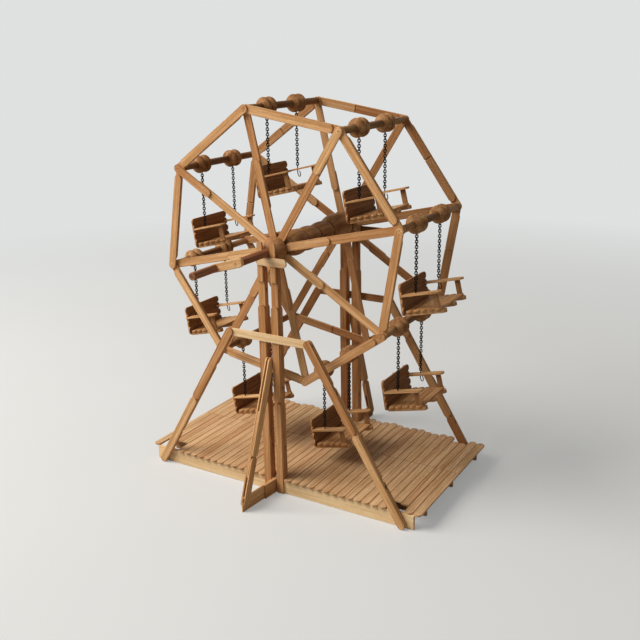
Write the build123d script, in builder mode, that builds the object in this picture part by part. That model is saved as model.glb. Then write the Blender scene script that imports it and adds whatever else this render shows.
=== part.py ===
from build123d import *
import math
import os

os.makedirs("parts", exist_ok=True)

# Frame: +Z up from the table, X across the wheel, Y along the axle, front at -Y.
# The origin is the middle of the base at table level.  All values in millimetres.

# Stick stock
STICK_LENGTH = 114.3
STICK_WIDTH = 9.5
STICK_THICKNESS = 2.0
HALF_STICK = STICK_LENGTH / 2
END_RADIUS = STICK_WIDTH / 2
FRONT, BACK = -1, 1
LEFT, RIGHT = -1, 1

# Heights that the wheel depends on
RAIL_HEIGHT = 17.4
SPINDLE_ABOVE_DECK = 115.6

# Wheel
VERTEX_COUNT = 8
VERTEX_RADIUS = 153.0
HUB_HEIGHT = RAIL_HEIGHT + STICK_THICKNESS + SPINDLE_ABOVE_DECK + VERTEX_RADIUS
FIRST_VERTEX_ANGLE = 147.9
VERTEX_STEP = 360.0 / VERTEX_COUNT
CHORD = 2 * VERTEX_RADIUS * math.sin(math.radians(VERTEX_STEP / 2))
RIM_INNER_FACE = 74.0
JOINT_LAYERS = 3
RAISED_SIDES = (1, 5)
TOP_SPOKES = (1, 3)
RAISED_SPOKES = (1, 2, 3, 6)
TOP_SPOKE_HUB_START = 10.0
SPLIT_SPOKE = 2
SPLIT_SPOKE_HUB_END = 98.0
SPOKE_HUB_START = 12.0

# Turned spindles between the rims
SPINDLE_RADIUS = 4.0
TENON_RADIUS = 3.0
TENON_CLEARANCE = 0.05
COLLAR_RADIUS = 5.5
COLLAR_HALF_LENGTH = 9.6
BEAD_RADIUS = 10.3
BEAD_HALF_LENGTH = 5.0
BEAD_OFFSET = 5.2
HANGER_MIDDLE = -5.0
HANGER_OFFSET = 30.5

# Axle, hub and crank
AXLE_RADIUS = 4.5
AXLE_BACK_END = 101.0
BORE_CLEARANCE = 0.05
FLANGE_RADIUS = 17.5
FLANGE_THICKNESS = 2.0
BALL_RADIUS = 15.0
BALL_FLAT_DEPTH = 1.0
CENTRE_GROOVES = ((-72.0, 9.0), (-56.0, 9.5), (-26.0, 11.5), (3.0, 11.0), (32.0, 11.5), (72.0, 14.0))
CENTRE_BULGES = (11.0, 14.5, 14.0, 13.8, 17.4)
CRANK_BACK_FACE = 148.0
CRANK_THICKNESS = 4.0
CRANK_ANGLE = 196.0
CRANK_THROW = 28.0
CRANK_TAIL = 8.5
CRANK_TIP = 6.0
HANDLE_RADIUS = 4.25
HANDLE_END = 190.0

# Base
RAIL_THICKNESS = 4.0
RAIL_OUTER_FACE = 95.0
RAIL_HALF_LENGTH = 178.5
INNER_RAIL_POSITIONS = {"rail_inner": -60.0, "rail_middle": 15.0}
KEEL_THICKNESS = 4.0
KEEL_HALF_LENGTH = 87.0
DECK_SEAM = 15.3
DECK_FRONT = DECK_SEAM - STICK_LENGTH
DECK_BACK = 104.0
DECK_BACK_RAGGED = 2.4
ROW_START = 18.2
ROW_END = 181.25
ROWS_PER_HAND = 17
CENTRE_ROW = 6.05
CENTRE_ROW_HALF_LENGTH = 86.5
NOTCH_FRONTS = {
    LEFT: {13: -74.0, 14: -74.0, 15: -76.0},
    RIGHT: {13: -77.0, 14: -80.0},
}
NOTCH_BACKS = {13: 92.5, 14: 92.5}
END_ROWS = (15, 16)
END_ROW_FRONT = -95.0
END_ROW_BACK = 103.5

# Towers
POST_OFFSET = 8.5
POST_INNER_FACE = 87.0
POST_BELOW_AXLE = 16.0
POST_TOP = HUB_HEIGHT - POST_BELOW_AXLE
POST_SHOULDER_DROP = 43.4
POST_SHOULDER = POST_TOP - POST_SHOULDER_DROP
POST_LAYERS = (
    (0.0, STICK_LENGTH, POST_SHOULDER),
    (0.0, HALF_STICK, POST_TOP),
    (RAIL_HEIGHT, STICK_LENGTH, POST_TOP),
    (RAIL_HEIGHT, HALF_STICK, POST_TOP),
    (0.0, STICK_LENGTH, POST_SHOULDER),
)
POST_OUTER_FACE = POST_INNER_FACE + len(POST_LAYERS) * STICK_THICKNESS
PEG_WIDTH = 7.5
PEG_LAP = 17.0
PEG_ABOVE_AXLE = 12.0
FORK_CLEARANCE = 0.1
REST_CLEARANCE = 0.05
REST_FRONT_LEFT, REST_FRONT_RIGHT = 11.0, 27.0
REST_BACK_LEFT, REST_BACK_RIGHT = 13.0, 52.0
CROSSBAR_HEIGHT = 191.5
CROSSBAR_HALF_LENGTH = 53.0
LEG_INSET = 1.0
LEG_TOP_X = CROSSBAR_HALF_LENGTH - LEG_INSET
LEG_TOP_Z = CROSSBAR_HEIGHT + 0.5
LEG_SPREAD_ANGLE = 31.31
LEG_CORE_GAP = 8.0
LEG_LAYERS = (
    (-END_RADIUS, HALF_STICK),
    (LEG_CORE_GAP - END_RADIUS, HALF_STICK),
    (-END_RADIUS, STICK_LENGTH),
)
LEG_END = (LEG_TOP_Z - END_RADIUS) / math.cos(math.radians(LEG_SPREAD_ANGLE)) + END_RADIUS

# Outriggers
OUTRIGGER_PIVOT = 92.0
OUTRIGGER_SKEW = {FRONT: 5.0, BACK: 0.0}
FOOT_START = -4.5
FOOT_LENGTH = 62.0
FOOT_LAP_END = 24.0
BRACE_TOP = (3.2, 168.0)
BRACE_ANGLE = 18.7
BRACE_FILLER = (60.0, 140.0)

# Benches, in a frame tilted with the seat and hung from the spindle axis
SEAT_ORIGIN = (-11.0, -96.5)
SEAT_TILT = 13.5
SLAT_WIDTH = 8.2
SLAT_PITCH = 8.5
SLAT_HALF_LENGTH = 34.0
SEAT_SLATS = 5
PANEL_SLATS = 4
PANEL_LEAN = 4.5
PANEL_FACE = -1.5
PANEL_BOTTOM = -3.7
BEARER_OFFSET = 27.0
BEARER_THICKNESS = 4.0
BEARER_ENDS = (-1.5, 46.0)
UPRIGHT_ENDS = (-6.2, 29.8)
ARM_HEIGHT = 16.2
ARM_LENGTH = 46.0
ARM_POST_POSITION = 38.0
ARM_POST_WIDTH = 6.0

# Chains
RING_CLEARANCE = 0.3
RING_WIRE_RADIUS = 0.6
CHAIN_RADIUS = 1.2
CHAIN_TOP = 10.9
CHAIN_SEAT_GAP = 0.3


def stick(plane, start, end, width=STICK_WIDTH, thickness=STICK_THICKNESS, holes=(), square=(False, False)):
    """One flat stick on a plane, running along its x, with round or square ends."""
    with BuildPart() as piece:
        with BuildSketch(plane):
            with Locations(((start + end) / 2, 0)):
                SlotOverall(end - start, width)
            for is_square, corner in zip(square, (start + width / 4, end - width / 4)):
                if is_square:
                    with Locations((corner, 0)):
                        Rectangle(width / 2, width)
            if holes:
                with Locations(*[(hole, 0) for hole in holes]):
                    Circle(TENON_RADIUS + TENON_CLEARANCE, mode=Mode.SUBTRACT)
        extrude(amount=thickness)
    return piece.part


def bar(plane, start, end, low, high, thickness):
    """One square-cut strip on a plane, between two values of its x and of its y."""
    with BuildPart() as piece:
        with BuildSketch(plane):
            with Locations(((start + end) / 2, (low + high) / 2)):
                Rectangle(end - start, high - low)
        extrude(amount=thickness)
    return piece.part


def course(start, first_length, end):
    """Ends of the sticks laid end to end from start to end, the first one of a given length."""
    seams = [start, start + first_length]
    while end - seams[-1] > STICK_LENGTH + STICK_WIDTH:
        seams.append(seams[-1] + STICK_LENGTH)
    return list(zip(seams, seams[1:] + [end]))


def save(name, pieces):
    """Write one node: a single solid, or a glued-up set of separate ones."""
    node = pieces[0] if len(pieces) == 1 else Compound(children=pieces)
    node.label = name
    export_step(node, f"parts/{name}.step")


def vertex_angle(index):
    """Direction of a wheel corner, numbered clockwise from 0."""
    return FIRST_VERTEX_ANGLE - VERTEX_STEP * index


def vertex(index):
    """Position (x, z) of a wheel corner."""
    angle = math.radians(vertex_angle(index))
    return VERTEX_RADIUS * math.cos(angle), HUB_HEIGHT + VERTEX_RADIUS * math.sin(angle)


def side_name(side):
    """Word for the front or the back."""
    return "front" if side == FRONT else "back"


def upright_plane(side, depth, x, z, run):
    """Plane parallel to the wheel at a depth on one side, its x along the direction run."""
    return Plane(origin=(x, side * depth, z), x_dir=(run[0], 0, run[1]), z_dir=(0, side, 0))


def layer_depth(layer):
    """Depth of the inner face of one stick layer of a wheel."""
    return RIM_INNER_FACE + layer * STICK_THICKNESS


def rim_plane(side, layer, index):
    """Plane for a rim stick: its x runs from one corner to the next."""
    here, there = vertex(index), vertex(index + 1)
    run = ((there[0] - here[0]) / CHORD, (there[1] - here[1]) / CHORD)
    return upright_plane(side, layer_depth(layer), here[0], here[1], run)


def spoke_plane(side, layer, index):
    """Plane for a spoke stick: its x runs from the hub to a corner."""
    angle = math.radians(vertex_angle(index))
    return upright_plane(side, layer_depth(layer), 0, HUB_HEIGHT, (math.cos(angle), math.sin(angle)))


EARLY = (-END_RADIUS, STICK_LENGTH - END_RADIUS)
LATE = (CHORD + END_RADIUS - STICK_LENGTH, CHORD + END_RADIUS)


def front_rim():
    """Eight sides, each of two staggered sticks; two sides sit one layer further out."""
    pieces = []
    for index in range(VERTEX_COUNT):
        raised = index + 1 in RAISED_SIDES
        inner, outer = (EARLY, LATE) if raised else (LATE, EARLY)
        layer = 1 if raised else 0
        inner_hole, outer_hole = (0, CHORD) if raised else (CHORD, 0)
        pieces.append(stick(rim_plane(FRONT, layer, index), *inner, holes=(inner_hole,)))
        pieces.append(stick(rim_plane(FRONT, layer + 1, index), *outer, holes=(outer_hole,)))
    return pieces


def back_rim():
    """Eight sides, each a whole stick lapped over two half sticks."""
    pieces = []
    middle = HALF_STICK - END_RADIUS
    for index in range(VERTEX_COUNT):
        inner = rim_plane(BACK, 0, index)
        pieces.append(stick(inner, EARLY[0], middle, holes=(0,), square=(False, True)))
        pieces.append(stick(inner, middle, EARLY[1], square=(True, False)))
        pieces.append(stick(rim_plane(BACK, 1, index), *LATE, holes=(CHORD,)))
    return pieces


def spoke(side, index, outer_layer, outer_length, hub_layer, hub_ends):
    """One spoke: a stick at the corner lapped on a stick at the hub."""
    tip = VERTEX_RADIUS + END_RADIUS
    corner = stick(spoke_plane(side, outer_layer, index), tip - outer_length, tip, holes=(VERTEX_RADIUS,))
    return [corner, stick(spoke_plane(side, hub_layer, index), *hub_ends)]


def front_spokes():
    """Eight spokes whose laps follow the layers of the rim corners they reach."""
    pieces = []
    half_hub = (SPOKE_HUB_START, SPOKE_HUB_START + HALF_STICK)
    for index in range(VERTEX_COUNT):
        number = index + 1
        if number in TOP_SPOKES:
            ends = (TOP_SPOKE_HUB_START, TOP_SPOKE_HUB_START + STICK_LENGTH)
            pieces += spoke(FRONT, index, 2, HALF_STICK, 1, ends)
        elif number == SPLIT_SPOKE:
            ends = (TOP_SPOKE_HUB_START, SPLIT_SPOKE_HUB_END)
            pieces += spoke(FRONT, index, 0, STICK_LENGTH, 1, ends)
        elif number in RAISED_SPOKES:
            pieces += spoke(FRONT, index, 0, STICK_LENGTH, 1, half_hub)
        else:
            pieces += spoke(FRONT, index, -1, STICK_LENGTH, 0, half_hub)
    return pieces


def back_spokes():
    """Eight equal spokes."""
    pieces = []
    for index in range(VERTEX_COUNT):
        ends = (SPOKE_HUB_START, SPOKE_HUB_START + HALF_STICK)
        pieces += spoke(BACK, index, -1, STICK_LENGTH, 0, ends)
    return pieces


def turning_plane(x, z):
    """Plane for a turned profile: its x along Y, its y the radius."""
    return Plane(origin=(x, 0, z), x_dir=(0, 1, 0), z_dir=(1, 0, 0))


def turning_axis(x, z):
    """Axis of a turned piece, along Y."""
    return Axis((x, 0, z), (0, 1, 0))


def spindle(index):
    """One turned spindle: a dowel with two pairs of beads and a tenon at each end."""
    x, z = vertex(index)
    first_layer = 0 if index + 1 in RAISED_SPOKES else -1
    front_shoulder = -layer_depth(first_layer)
    front_end = -layer_depth(first_layer + JOINT_LAYERS)
    back_shoulder, back_end = layer_depth(-1), layer_depth(JOINT_LAYERS - 1)
    with BuildPart() as turned:
        with BuildSketch(turning_plane(x, z)):
            with Locations(((front_shoulder + back_shoulder) / 2, SPINDLE_RADIUS / 2)):
                Rectangle(back_shoulder - front_shoulder, SPINDLE_RADIUS)
            with Locations(((front_end + back_end) / 2, TENON_RADIUS / 2)):
                Rectangle(back_end - front_end, TENON_RADIUS)
            for group in (HANGER_MIDDLE - HANGER_OFFSET, HANGER_MIDDLE + HANGER_OFFSET):
                with Locations((group, COLLAR_RADIUS / 2)):
                    Rectangle(2 * COLLAR_HALF_LENGTH, COLLAR_RADIUS)
                with Locations((group - BEAD_OFFSET, 0), (group + BEAD_OFFSET, 0)):
                    Ellipse(BEAD_HALF_LENGTH, BEAD_RADIUS)
            with Locations((0, -BEAD_RADIUS)):
                Rectangle(2 * layer_depth(JOINT_LAYERS), 2 * BEAD_RADIUS, mode=Mode.SUBTRACT)
        revolve(axis=turning_axis(x, z))
    return turned.part


def centre_spindle():
    """The fat turned spindle on the axle: five bulges between two flanges, bored through."""
    bore = AXLE_RADIUS + BORE_CLEARANCE
    first, last = CENTRE_GROOVES[0], CENTRE_GROOVES[-1]
    with BuildPart() as turned:
        with BuildSketch(turning_plane(0, HUB_HEIGHT)):
            with BuildLine():
                for start, end, bulge in zip(CENTRE_GROOVES, CENTRE_GROOVES[1:], CENTRE_BULGES):
                    ThreePointArc(start, ((start[0] + end[0]) / 2, bulge), end)
                Polyline(last, (last[0], bore), (first[0], bore), first)
            make_face()
            middle = RIM_INNER_FACE - FLANGE_THICKNESS / 2
            with Locations((-middle, (bore + FLANGE_RADIUS) / 2), (middle, (bore + FLANGE_RADIUS) / 2)):
                Rectangle(FLANGE_THICKNESS, FLANGE_RADIUS - bore)
        revolve(axis=turning_axis(0, HUB_HEIGHT))
    return turned.part


def hub_ball(side, face_layer):
    """A wooden ball with a flat, threaded on the axle against the spokes."""
    flat = side * layer_depth(face_layer)
    centre = flat + side * BALL_FLAT_DEPTH
    with BuildPart() as ball:
        with Locations((0, centre, HUB_HEIGHT)):
            Sphere(BALL_RADIUS)
        split(bisect_by=Plane(origin=(0, flat, HUB_HEIGHT), z_dir=(0, side, 0)), keep=Keep.TOP)
        with BuildSketch(Plane(origin=(0, centre, HUB_HEIGHT), z_dir=(0, 1, 0))):
            Circle(AXLE_RADIUS + BORE_CLEARANCE)
        extrude(amount=2 * BALL_RADIUS, both=True, mode=Mode.SUBTRACT)
    return ball.part


def axle():
    """The axle dowel with a tenon for the crank arm."""
    with BuildPart() as dowel:
        with BuildSketch(Plane(origin=(0, -CRANK_BACK_FACE, HUB_HEIGHT), z_dir=(0, 1, 0))):
            Circle(AXLE_RADIUS)
        extrude(amount=CRANK_BACK_FACE + AXLE_BACK_END)
        with BuildSketch(Plane(origin=(0, -CRANK_BACK_FACE, HUB_HEIGHT), z_dir=(0, -1, 0))):
            Circle(TENON_RADIUS)
        extrude(amount=CRANK_THICKNESS)
    return dowel.part


def crank_run():
    """Unit direction (x, z) from the axle to the crank handle."""
    return math.cos(math.radians(CRANK_ANGLE)), math.sin(math.radians(CRANK_ANGLE))


def crank_arm():
    """The crank arm, a short thick stick on the axle tenon."""
    plane = upright_plane(FRONT, CRANK_BACK_FACE, 0, HUB_HEIGHT, crank_run())
    return stick(plane, -CRANK_TAIL, CRANK_THROW + CRANK_TIP, thickness=CRANK_THICKNESS, holes=(0,))


def crank_handle():
    """The handle dowel, butted on the front of the crank arm."""
    run = crank_run()
    root = CRANK_BACK_FACE + CRANK_THICKNESS
    foot = (CRANK_THROW * run[0], -root, HUB_HEIGHT + CRANK_THROW * run[1])
    with BuildPart() as dowel:
        with BuildSketch(Plane(origin=foot, z_dir=(0, -1, 0))):
            Circle(HANDLE_RADIUS)
        extrude(amount=HANDLE_END - root)
    return dowel.part


def rail(side):
    """One long rail on edge, in two halves that leave room for the outrigger foot."""
    gap = POST_OFFSET - END_RADIUS
    depth = RAIL_OUTER_FACE - RAIL_THICKNESS
    plane = upright_plane(side, depth, 0, 0, (side, 0))
    low, high = (-RAIL_HEIGHT, 0) if plane.y_dir.Z < 0 else (0, RAIL_HEIGHT)
    spans = ((-RAIL_HALF_LENGTH, -gap), (gap, RAIL_HALF_LENGTH))
    return [bar(plane, *span, low, high, RAIL_THICKNESS) for span in spans]


def hidden_rail(middle):
    """One rail hidden under the deck, in two halves butted on the keel."""
    plane = Plane(origin=(0, middle + RAIL_THICKNESS / 2, 0), x_dir=(1, 0, 0), z_dir=(0, -1, 0))
    spans = ((-RAIL_HALF_LENGTH, -KEEL_THICKNESS / 2), (KEEL_THICKNESS / 2, RAIL_HALF_LENGTH))
    return [bar(plane, *span, 0, RAIL_HEIGHT, RAIL_THICKNESS) for span in spans]


def keel():
    """The strip under the middle of the deck, from tower to tower."""
    plane = Plane(origin=(-KEEL_THICKNESS / 2, 0, 0), x_dir=(0, 1, 0), z_dir=(1, 0, 0))
    return bar(plane, -KEEL_HALF_LENGTH, KEEL_HALF_LENGTH, 0, RAIL_HEIGHT, KEEL_THICKNESS)


def plank_row(x, front, back, cut_front=False):
    """One row of deck planks: a front stick and a back stick meeting at the seam."""
    plane = Plane(origin=(x, 0, RAIL_HEIGHT), x_dir=(0, 1, 0), z_dir=(0, 0, 1))
    return [
        stick(plane, front, DECK_SEAM, square=(cut_front, False)),
        stick(plane, DECK_SEAM, back, square=(True, False)),
    ]


def deck():
    """The planked deck, with short rows that leave room for the legs and the posts."""
    pieces = []
    pitch = (ROW_END - ROW_START) / (ROWS_PER_HAND - 1)
    for hand in (LEFT, RIGHT):
        for row in range(ROWS_PER_HAND):
            x = hand * (ROW_START + pitch * row)
            ragged = DECK_BACK + DECK_BACK_RAGGED * math.sin(hand + 1.7 * row)
            front, back = (END_ROW_FRONT, END_ROW_BACK) if row in END_ROWS else (DECK_FRONT, ragged)
            notched = row in NOTCH_FRONTS[hand]
            front = NOTCH_FRONTS[hand].get(row, front)
            back = NOTCH_BACKS.get(row, back)
            pieces += plank_row(x, front, back, cut_front=notched)
        ends = (-CENTRE_ROW_HALF_LENGTH, CENTRE_ROW_HALF_LENGTH)
        pieces += plank_row(hand * CENTRE_ROW, *ends, cut_front=True)
    return pieces


def post(side, hand):
    """One tower post, laminated from five layers of sticks with staggered seams."""
    pieces = []
    for layer, (bottom, first_length, top) in enumerate(POST_LAYERS):
        depth = POST_INNER_FACE + layer * STICK_THICKNESS
        plane = upright_plane(side, depth, hand * POST_OFFSET, 0, (0, 1))
        for start, end in course(bottom, first_length, top):
            pieces.append(stick(plane, start, end, square=(start == bottom, False)))
    return pieces


def pegs(side):
    """The two pegs of the fork that holds the axle."""
    offset = AXLE_RADIUS + FORK_CLEARANCE + PEG_WIDTH / 2
    depth = POST_OUTER_FACE - STICK_THICKNESS
    pieces = []
    for hand in (LEFT, RIGHT):
        plane = upright_plane(side, depth, hand * offset, 0, (0, 1))
        ends = (POST_TOP - PEG_LAP, HUB_HEIGHT + PEG_ABOVE_AXLE)
        pieces.append(stick(plane, *ends, width=PEG_WIDTH, square=(True, False)))
    return pieces


def axle_rest(side):
    """The strip across the pegs that the axle turns on."""
    height = HUB_HEIGHT - AXLE_RADIUS - REST_CLEARANCE - STICK_WIDTH / 2
    plane = upright_plane(side, POST_OUTER_FACE, 0, height, (1, 0))
    if side == FRONT:
        return stick(plane, -REST_FRONT_LEFT, REST_FRONT_RIGHT, square=(True, False))
    return stick(plane, -REST_BACK_LEFT, REST_BACK_RIGHT)


def crossbar(side):
    """The bar across the posts between the tops of the legs."""
    plane = upright_plane(side, POST_OUTER_FACE, 0, CROSSBAR_HEIGHT, (1, 0))
    return stick(plane, -CROSSBAR_HALF_LENGTH, CROSSBAR_HALF_LENGTH)


def leg(side, hand):
    """One sloping leg, laminated from three layers that hold the crossbar between them."""
    spread = math.radians(LEG_SPREAD_ANGLE)
    run = (hand * math.sin(spread), -math.cos(spread))
    pieces = []
    for layer, (top, first_length) in enumerate(LEG_LAYERS):
        depth = RAIL_OUTER_FACE + layer * STICK_THICKNESS
        plane = upright_plane(side, depth, hand * LEG_TOP_X, LEG_TOP_Z, run)
        for start, end in course(top, first_length, LEG_END):
            pieces.append(stick(plane, start, end))
    return pieces


def outrigger_frame(side):
    """Outward direction and sideways direction of one outrigger."""
    skew = math.radians(OUTRIGGER_SKEW[side])
    out = Vector(-math.sin(skew), side * math.cos(skew), 0)
    return out, Vector(0, 0, 1).cross(out)


def outrigger_plane(side, along, height, run, offset):
    """Plane of one layer of an outrigger, its x along the direction run."""
    out, sideways = outrigger_frame(side)
    origin = Vector(0, side * OUTRIGGER_PIVOT, height) + out * along + sideways * offset
    direction = out * run[0] + Vector(0, 0, run[1])
    return Plane(origin=origin, x_dir=direction, z_dir=sideways)


def foot(side):
    """The outrigger's foot: two strips on edge, lapped beside each other."""
    half = STICK_THICKNESS / 2
    long_plane = outrigger_plane(side, 0, 0, (1, 0), -half)
    lap_plane = outrigger_plane(side, 0, 0, (1, 0), half)
    low, high = (-RAIL_HEIGHT, 0) if long_plane.y_dir.Z < 0 else (0, RAIL_HEIGHT)
    return [
        bar(long_plane, FOOT_START, FOOT_LENGTH, low, high, STICK_THICKNESS),
        bar(lap_plane, FOOT_START, FOOT_LAP_END, low, high, STICK_THICKNESS),
    ]


def brace(side):
    """The outrigger's brace: a fork of two layers held apart by a filler, straddling the foot."""
    angle = math.radians(BRACE_ANGLE)
    run = (math.sin(angle), -math.cos(angle))
    pieces = []
    for offset in (-1.5 * STICK_THICKNESS, 0.5 * STICK_THICKNESS):
        plane = outrigger_plane(side, *BRACE_TOP, run, offset)
        pieces.append(stick(plane, 0, STICK_LENGTH))
        pieces.append(stick(plane, STICK_LENGTH, STICK_LENGTH + HALF_STICK))
    filler = outrigger_plane(side, *BRACE_TOP, run, -STICK_THICKNESS / 2)
    pieces.append(stick(filler, *BRACE_FILLER))
    return pieces


def seat_axes():
    """Forward and upward directions of the tilted seat."""
    tilt = math.radians(SEAT_TILT)
    return Vector(math.cos(tilt), 0, math.sin(tilt)), Vector(-math.sin(tilt), 0, math.cos(tilt))


def seat_point(index, forward, y, upward):
    """World position of a point given in the tilted seat frame."""
    x, z = vertex(index)
    along, up = seat_axes()
    origin = Vector(x + SEAT_ORIGIN[0], HANGER_MIDDLE + y, z + SEAT_ORIGIN[1])
    return origin + along * forward + up * upward


def bench_seat(index):
    """Five cross slats on three bearers."""
    along, up = seat_axes()
    pieces = []
    for slat in range(SEAT_SLATS):
        origin = seat_point(index, SLAT_WIDTH / 2 + SLAT_PITCH * slat, 0, -STICK_THICKNESS)
        plane = Plane(origin=origin, x_dir=(0, 1, 0), z_dir=up)
        pieces.append(stick(plane, -SLAT_HALF_LENGTH, SLAT_HALF_LENGTH, width=SLAT_WIDTH))
    for y in (-BEARER_OFFSET, 0, BEARER_OFFSET):
        plane = Plane(
            origin=seat_point(index, 0, y, -STICK_THICKNESS - BEARER_THICKNESS), x_dir=along, z_dir=up
        )
        bearer = stick(plane, *BEARER_ENDS, width=SLAT_WIDTH, thickness=BEARER_THICKNESS, square=(True, False))
        pieces.append(bearer)
    return pieces


def bench_back(index):
    """Four cross slats in front of three uprights, leaning a little over the seat."""
    along, up = seat_axes()
    lean = math.radians(PANEL_LEAN)
    rise = up * math.cos(lean) + along * math.sin(lean)
    rear = up * math.sin(lean) - along * math.cos(lean)
    pieces = []
    for slat in range(PANEL_SLATS):
        height = PANEL_BOTTOM + SLAT_WIDTH / 2 + SLAT_PITCH * slat
        origin = seat_point(index, PANEL_FACE, 0, 0) + rise * height
        plane = Plane(origin=origin, x_dir=(0, 1, 0), z_dir=rear)
        pieces.append(stick(plane, -SLAT_HALF_LENGTH, SLAT_HALF_LENGTH, width=SLAT_WIDTH))
    for y in (-BEARER_OFFSET, 0, BEARER_OFFSET):
        origin = seat_point(index, PANEL_FACE, y, 0) + rear * STICK_THICKNESS
        plane = Plane(origin=origin, x_dir=rise, z_dir=rear)
        pieces.append(stick(plane, *UPRIGHT_ENDS, width=SLAT_WIDTH))
    return pieces


def bench_arms(index):
    """Two flat arm rests, each on a short front post."""
    along, up = seat_axes()
    pieces = []
    for hand in (-1, 1):
        y = hand * HANGER_OFFSET
        flat = Plane(origin=seat_point(index, 0, y, ARM_HEIGHT), x_dir=along, z_dir=up)
        pieces.append(stick(flat, 0, ARM_LENGTH, square=(True, False)))
        post_y = y - STICK_THICKNESS / 2
        standing = Plane(origin=seat_point(index, ARM_POST_POSITION, post_y, 0), x_dir=up, z_dir=(0, 1, 0))
        half = ARM_POST_WIDTH / 2
        pieces.append(bar(standing, 0, ARM_HEIGHT, -half, half, STICK_THICKNESS))
    return pieces


def arm_top_drop():
    """Drop from the spindle axis to the top of the arm rest straight below it."""
    tilt = math.radians(SEAT_TILT)
    top = ARM_HEIGHT + STICK_THICKNESS
    forward = (top * math.sin(tilt) - SEAT_ORIGIN[0]) / math.cos(tilt)
    return -(SEAT_ORIGIN[1] + forward * math.sin(tilt) + top * math.cos(tilt))


def chains(index):
    """Two chains as plain bars, each with a ring that runs in a spindle groove."""
    x, z = vertex(index)
    ring_radius = COLLAR_RADIUS + RING_CLEARANCE + RING_WIRE_RADIUS
    bottom = arm_top_drop() - CHAIN_SEAT_GAP
    pieces = []
    for hand in (-1, 1):
        y = HANGER_MIDDLE + hand * HANGER_OFFSET
        with BuildPart() as chain:
            with BuildSketch(turning_plane(x, z)):
                with Locations((y, ring_radius)):
                    Circle(RING_WIRE_RADIUS)
            revolve(axis=turning_axis(x, z))
            with BuildSketch(Plane.XY.offset(z - ring_radius)):
                with Locations((x, y)):
                    Circle(RING_WIRE_RADIUS)
            extrude(amount=ring_radius - CHAIN_TOP)
            with BuildSketch(Plane.XY.offset(z - bottom)):
                with Locations((x, y)):
                    Circle(CHAIN_RADIUS)
            extrude(amount=bottom - CHAIN_TOP)
        pieces.append(chain.part)
    return pieces


def save_stand():
    """Write the nodes that stay still."""
    for name, middle in INNER_RAIL_POSITIONS.items():
        save(name, hidden_rail(middle))
    save("keel", [keel()])
    save("deck", deck())
    for side in (FRONT, BACK):
        word = side_name(side)
        save(f"rail_{word}", rail(side))
        save(f"pegs_{word}", pegs(side))
        save(f"axle_rest_{word}", [axle_rest(side)])
        save(f"crossbar_{word}", [crossbar(side)])
        save(f"foot_{word}", foot(side))
        save(f"brace_{word}", brace(side))
        for hand, hand_word in ((LEFT, "left"), (RIGHT, "right")):
            save(f"post_{word}_{hand_word}", post(side, hand))
            save(f"leg_{word}_{hand_word}", leg(side, hand))


def save_wheel():
    """Write the nodes that turn with the crank."""
    save("axle", [axle()])
    save("centre_spindle", [centre_spindle()])
    save("hub_front", [hub_ball(FRONT, 2)])
    save("hub_back", [hub_ball(BACK, 1)])
    save("rim_front", front_rim())
    save("rim_back", back_rim())
    save("spokes_front", front_spokes())
    save("spokes_back", back_spokes())
    save("crank_arm", [crank_arm()])
    save("crank_handle", [crank_handle()])
    for index in range(VERTEX_COUNT):
        save(f"spindle_{index + 1}", [spindle(index)])


def save_seats():
    """Write the hanging benches and their chains."""
    for index in range(VERTEX_COUNT):
        save(f"bench_{index + 1}", bench_seat(index) + bench_back(index) + bench_arms(index))
        save(f"chains_{index + 1}", chains(index))


save_stand()
save_wheel()
save_seats()
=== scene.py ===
"""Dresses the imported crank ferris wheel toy: craft sticks, turned spindles and fine chain."""

import logging
import math
import random
from dataclasses import dataclass, field
from enum import Enum
from typing import Callable, Iterable, Sequence

import bmesh
import bpy
from mathutils import Matrix, Vector


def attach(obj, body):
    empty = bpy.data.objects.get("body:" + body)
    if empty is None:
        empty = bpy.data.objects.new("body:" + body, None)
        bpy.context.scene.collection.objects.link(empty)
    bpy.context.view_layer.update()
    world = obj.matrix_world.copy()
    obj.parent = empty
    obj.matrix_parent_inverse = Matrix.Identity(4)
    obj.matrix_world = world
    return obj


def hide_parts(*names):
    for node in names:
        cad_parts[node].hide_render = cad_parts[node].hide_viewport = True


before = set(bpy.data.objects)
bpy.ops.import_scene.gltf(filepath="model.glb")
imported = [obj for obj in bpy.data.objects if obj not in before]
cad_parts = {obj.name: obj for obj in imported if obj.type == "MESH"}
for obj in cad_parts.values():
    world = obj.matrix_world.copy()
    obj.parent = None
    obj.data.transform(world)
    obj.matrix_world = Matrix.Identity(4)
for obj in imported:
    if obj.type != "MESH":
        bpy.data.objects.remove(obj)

LOG = logging.getLogger("ferris_wheel")
MM = 0.001
SHARP_ANGLE = math.radians(38)
AXIS_X, AXIS_Y, AXIS_Z = Vector((1, 0, 0)), Vector((0, 1, 0)), Vector((0, 0, 1))
Pair = tuple[float, float]
Colour = tuple[float, float, float]
Node = bpy.types.Node
Socket = bpy.types.NodeSocket
Vert = bmesh.types.BMVert


class Direction(Enum):
    """Direction along one axis; the value is its sign."""

    @property
    def word(self) -> str:
        """Word used in node names."""
        return self.name.lower()


class Side(Direction):
    """Front or back of the toy, along Y."""

    FRONT = -1
    BACK = 1


class Hand(Direction):
    """Left or right half of the toy, along X."""

    LEFT = -1
    RIGHT = 1


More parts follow.
